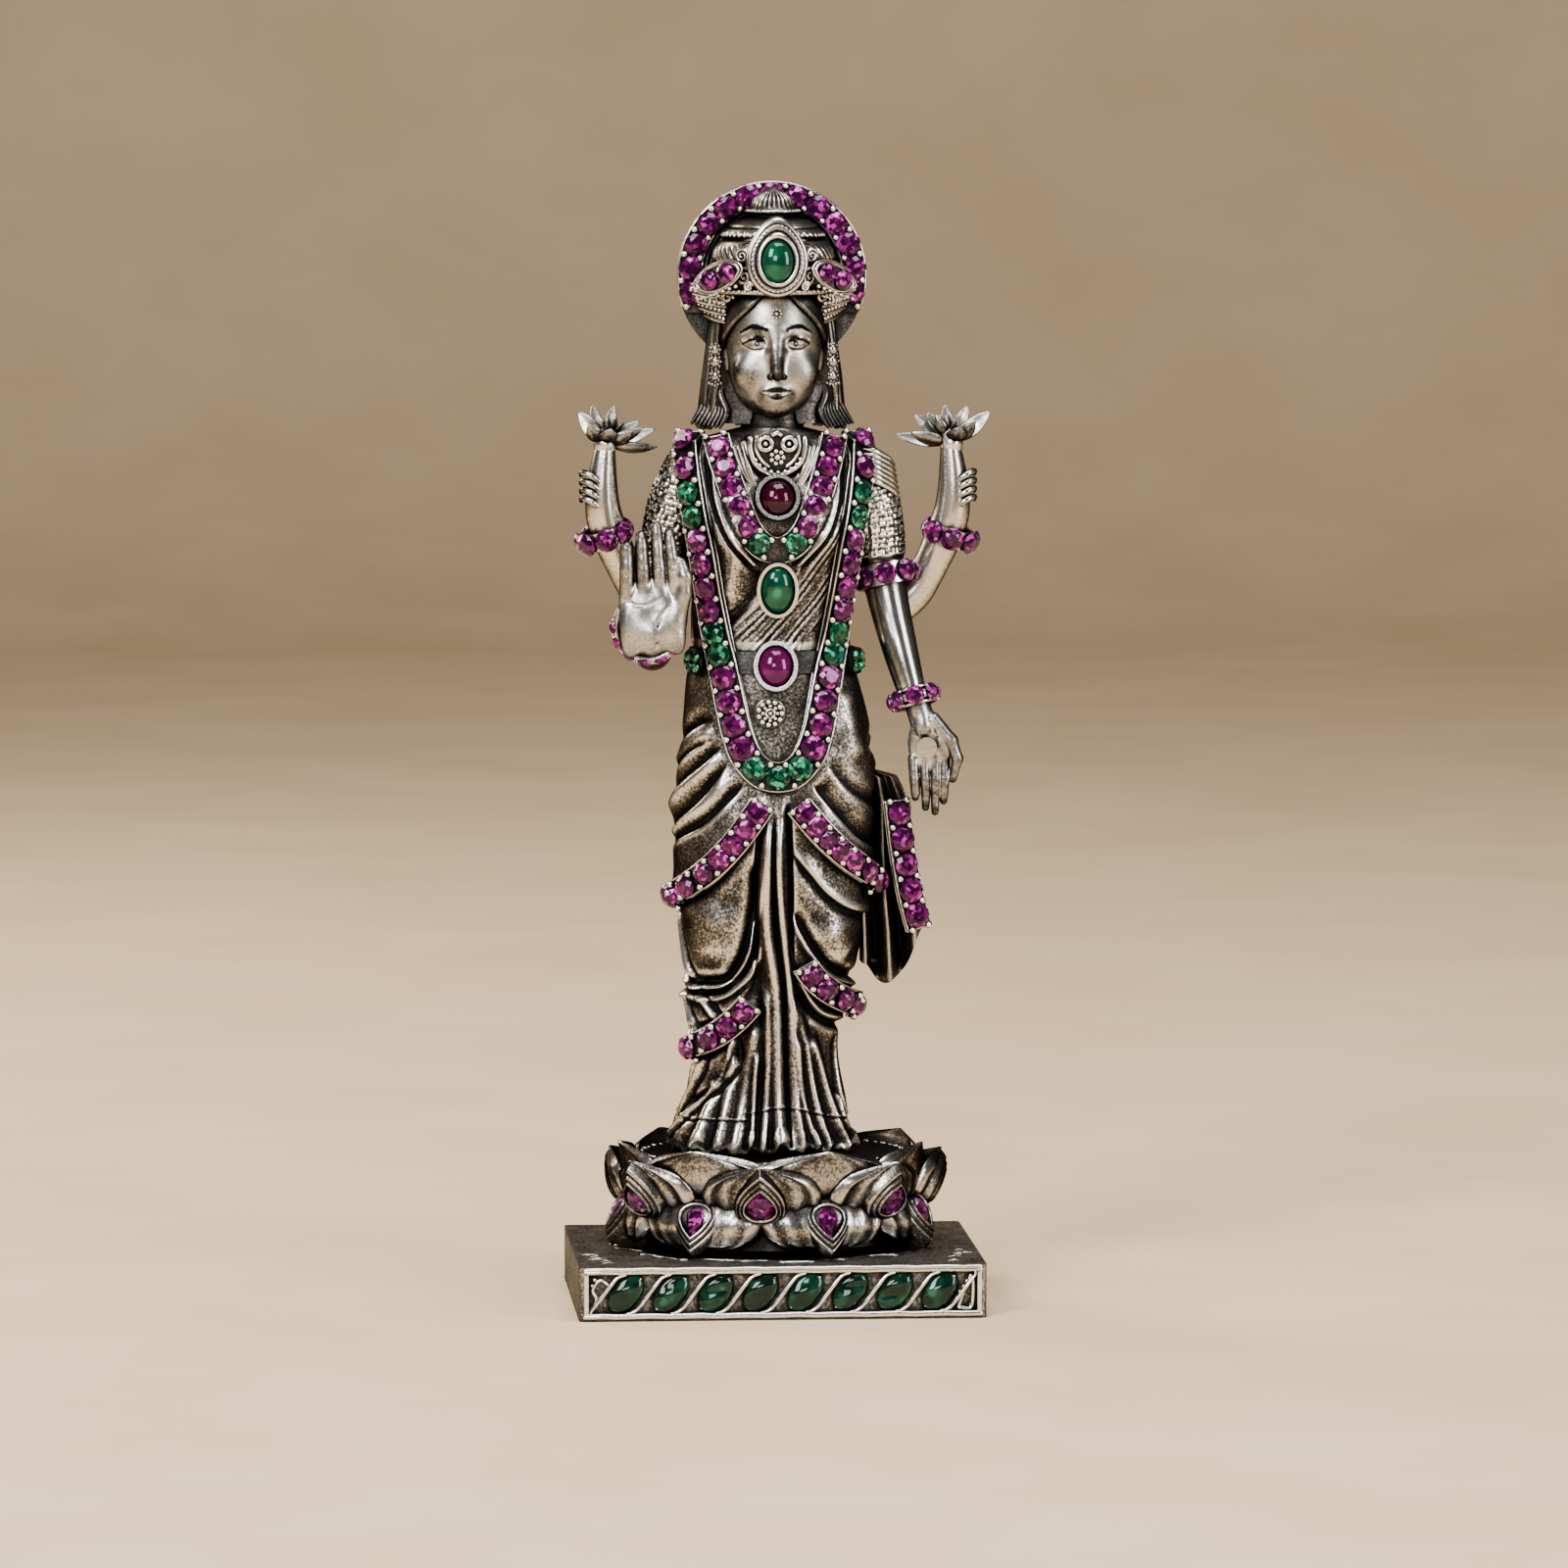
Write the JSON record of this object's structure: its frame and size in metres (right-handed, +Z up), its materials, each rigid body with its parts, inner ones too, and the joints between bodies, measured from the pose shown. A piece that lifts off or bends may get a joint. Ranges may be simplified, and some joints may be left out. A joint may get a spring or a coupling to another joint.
{
  "type": "deity statuette",
  "caption": "Standing four-armed goddess statuette in oxidised silver with red and green stones, on a lotus and a rectangular plinth, for a shelf or shrine.",
  "frame": {"origin": "centre of the plinth's resting face", "axes": "+Z up, the figure faces -Y, +X is to the figure's left hand"},
  "size_m": [0.0462, 0.034, 0.1247],
  "materials": {
    "oxidised_silver": "sterling silver, oxidised dark in the hollows and rubbed back to a warm satin grey on the high places",
    "bright_silver": "sterling silver, polished on raised rims, grains and bezels",
    "plain_silver": "plain sheet silver, satin, not oxidised",
    "red_stone": "faceted purplish red stone, clear and glossy",
    "green_stone": "deep green stone, faceted or domed, glossy",
    "garnet_stone": "domed dark red stone, glossy"
  },
  "bodies": {
    "root": {"bangle_rubies": "red_stone", "belt": "oxidised_silver", "belt_buckle_bezel": "bright_silver", "belt_cluster_plates": "oxidised_silver", "belt_emeralds": "green_stone", "belt_flower_boss": "bright_silver", "border_rubies": "red_stone", "buckle_cabochon": "garnet_stone", "collar_pendant": "bright_silver", "crown": "oxidised_silver", "crown_emerald": "green_stone", "crown_jewel_bezel": "bright_silver", "crown_side_rubies": "red_stone", "crown_side_wings": "oxidised_silver", "earrings": "bright_silver", "emerald_cabochon": "green_stone", "frieze_green_ovals": "green_stone", "frieze_scroll_wires": "bright_silver", "front_pleats": "oxidised_silver", "garland_band": "bright_silver", "garland_emeralds": "green_stone", "garland_rubies": "red_stone", "garnet_cabochon": "garnet_stone", "grain_beads": "bright_silver", "hair": "oxidised_silver", "halo_plate": "oxidised_silver", "halo_ring": "bright_silver", "halo_rubies": "red_stone", "head": "oxidised_silver", "left_armband": "bright_silver", "left_front_arm": "oxidised_silver", "left_front_hand": "oxidised_silver", "left_lotus_bloom": "oxidised_silver", "left_rear_arm": "oxidised_silver", "lotus_clamp_screw": "plain_silver", "lotus_inner_petals": "oxidised_silver", "lotus_lower_petals": "oxidised_silver", "lotus_outer_petals": "oxidised_silver", "lotus_petal_bezels": "bright_silver", "lotus_rubies": "red_stone", "lotus_seed_pod": "oxidised_silver", "necklace_band": "bright_silver", "necklace_emeralds": "green_stone", "necklace_rubies": "red_stone", "palla_border": "bright_silver", "palm_coin": "bright_silver", "pendant_bezels": "bright_silver", "plinth_closing_plate": "plain_silver", "plinth_shell": "oxidised_silver", "rear_bangles": "bright_silver", "right_front_arm": "oxidised_silver", "right_front_hand": "oxidised_silver", "right_lotus_bloom": "oxidised_silver", "right_rear_arm": "oxidised_silver", "sari_palla": "oxidised_silver", "sari_skirt": "oxidised_silver", "shin_borders": "bright_silver", "thigh_borders": "bright_silver", "torso": "oxidised_silver", "wrist_bangles": "bright_silver"}
  },
  "joints": []
}
